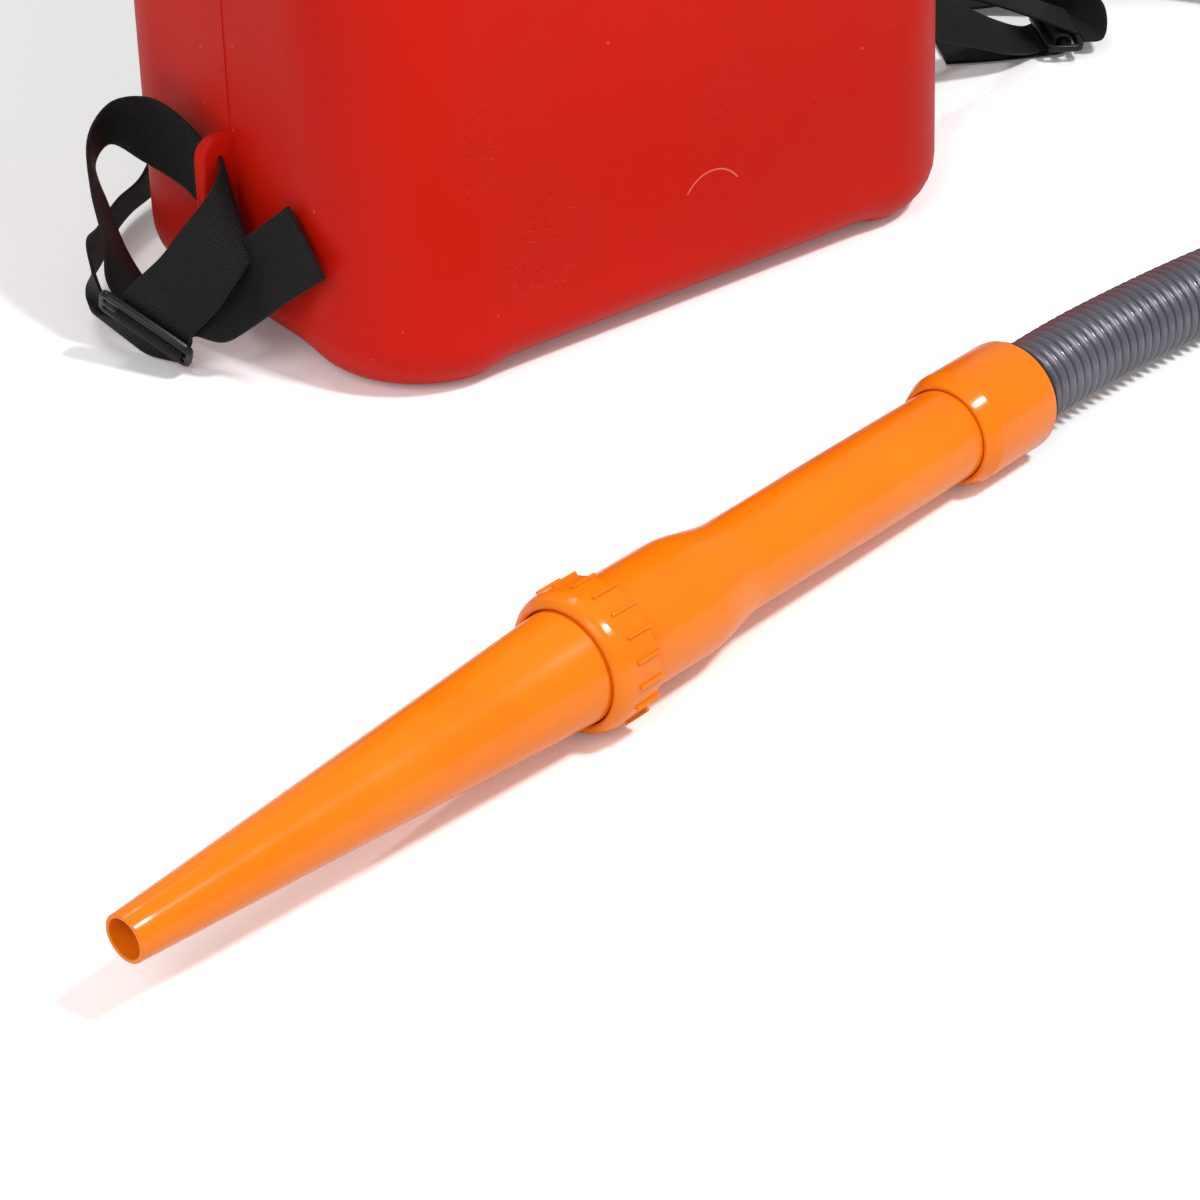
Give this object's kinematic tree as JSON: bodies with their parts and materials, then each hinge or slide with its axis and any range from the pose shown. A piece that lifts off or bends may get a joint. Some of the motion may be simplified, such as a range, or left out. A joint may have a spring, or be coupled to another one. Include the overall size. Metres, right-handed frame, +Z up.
{
  "type": "knapsack hopper blower",
  "caption": "Knapsack blower with a rounded hopper tank, screw lid, padded harness, corrugated hose and a hand wand with a tapered screw-on nozzle.",
  "frame": {"origin": "centre of the tank's base, on the floor", "axes": "+X to the right seen from the front, +Y towards the wearer's back, +Z up"},
  "size_m": [1.047, 0.5964, 0.5164],
  "materials": {
    "tank_red": "blow-moulded, semi-gloss",
    "wand_orange": "moulded, glossy",
    "hose_grey": "silver-grey corrugated, shiny",
    "black_plastic": "fine grained",
    "grey_plastic": "fine grained",
    "orange_knob": "moulded, glossy",
    "webbing": "woven nylon",
    "foam": "padded mesh cloth",
    "rubber_black": "matt",
    "steel": "zinc plated",
    "nylon_white": "moulded",
    "board_green": "lacquered board",
    "battery_case": "moulded case",
    "wire_red": "insulated lead"
  },
  "bodies": {
    "blower": {"tank": "tank_red", "base_plate": "black_plastic", "scroll_lower": "black_plastic", "scroll_upper": "black_plastic", "fan_duct": "black_plastic", "mixing_tee": "black_plastic", "outlet_spigot": "black_plastic", "switch_housing": "black_plastic", "charge_socket": "black_plastic", "strap_bracket": "black_plastic", "carry_handle": "black_plastic", "left_buckle": "black_plastic", "right_buckle": "black_plastic", "spigot_gasket": "rubber_black", "tank_cuff_seal": "rubber_black", "wand_cuff_seal": "rubber_black", "base_screw_1": "steel", "base_screw_2": "steel", "base_screw_3": "steel", "base_screw_4": "steel", "battery_clamp": "steel", "clamp_screw_1": "steel", "clamp_screw_2": "steel", "motor_body": "steel", "spigot_screw_1": "steel", "spigot_screw_2": "steel", "spigot_screw_3": "steel", "bracket_screw_1": "steel", "bracket_screw_2": "steel", "battery_pack": "battery_case", "intake_filter": "foam", "back_pad": "foam", "left_shoulder_pad": "foam", "right_shoulder_pad": "foam", "motor_lead_1": "wire_red", "motor_lead_2": "wire_red", "tank_cuff": "wand_orange", "wand_tube": "wand_orange", "wand_cuff": "wand_orange", "gate_housing": "grey_plastic", "control_panel": "grey_plastic", "speed_board": "board_green", "left_lug_webbing": "webbing", "right_lug_webbing": "webbing", "left_pad_webbing": "webbing", "right_pad_webbing": "webbing", "hose": "hose_grey"},
    "lid_carrier": {"lid_seal": "rubber_black"},
    "lid": {"filler_lid": "black_plastic"},
    "nozzle_end": {"nozzle": "wand_orange", "nozzle_seal": "rubber_black"},
    "collar": {"collar_nut": "wand_orange"},
    "fan_rotor": {"impeller": "nylon_white", "motor_shaft": "steel"},
    "rocker": {"power_rocker": "tank_red"},
    "speed_dial": {"speed_knob": "black_plastic"},
    "socket_cap": {"charge_cap": "rubber_black"},
    "gate": {"gate_plate": "steel", "gate_rod": "steel", "gate_knob": "orange_knob"}
  },
  "joints": [
    {"name": "lid_lift", "type": "slide", "parent": "blower", "child": "lid_carrier", "axis": [0, 0, 1], "range_m": [0, 0.036]},
    {"name": "lid_turn", "type": "hinge", "parent": "lid_carrier", "child": "lid", "pos_m": [0, 0.01815, 0.5], "axis": [0, 0, 1], "range_deg": [0, 1081]},
    {"name": "nozzle_out", "type": "slide", "parent": "blower", "child": "nozzle_end", "axis": [-0.9858, -0.1667, 0.0175], "range_m": [0, 0.024]},
    {"name": "collar_turn", "type": "hinge", "parent": "nozzle_end", "child": "collar", "pos_m": [-0.2792, -0.3594, 0.03218], "axis": [-0.9858, -0.1667, 0.0175], "range_deg": [0, 1729]},
    {"name": "impeller_spin", "type": "hinge", "parent": "blower", "child": "fan_rotor", "pos_m": [-0.08, 0.02, 0.066], "axis": [0, 0, 1], "continuous": true},
    {"name": "power_rocker", "type": "hinge", "parent": "blower", "child": "rocker", "pos_m": [0.1906, -0.024, 0.143], "axis": [0, 1, 0], "range_deg": [0, 20]},
    {"name": "speed_knob", "type": "hinge", "parent": "blower", "child": "speed_dial", "pos_m": [0.195, 0.004, 0.143], "axis": [1, 0, 0], "range_deg": [0, 270]},
    {"name": "charge_cap", "type": "hinge", "parent": "blower", "child": "socket_cap", "pos_m": [0.19855, 0.03, 0.1535], "axis": [0, -1, 0], "range_deg": [0, 110]},
    {"name": "gate_slide", "type": "slide", "parent": "blower", "child": "gate", "axis": [1, 0, 0], "range_m": [0, 0.056]}
  ],
  "couplings": [
    {"joint": "lid_turn", "follows": "lid_lift", "rad_per_m": 523.6},
    {"joint": "collar_turn", "follows": "nozzle_out", "rad_per_m": 1256.6}
  ]
}
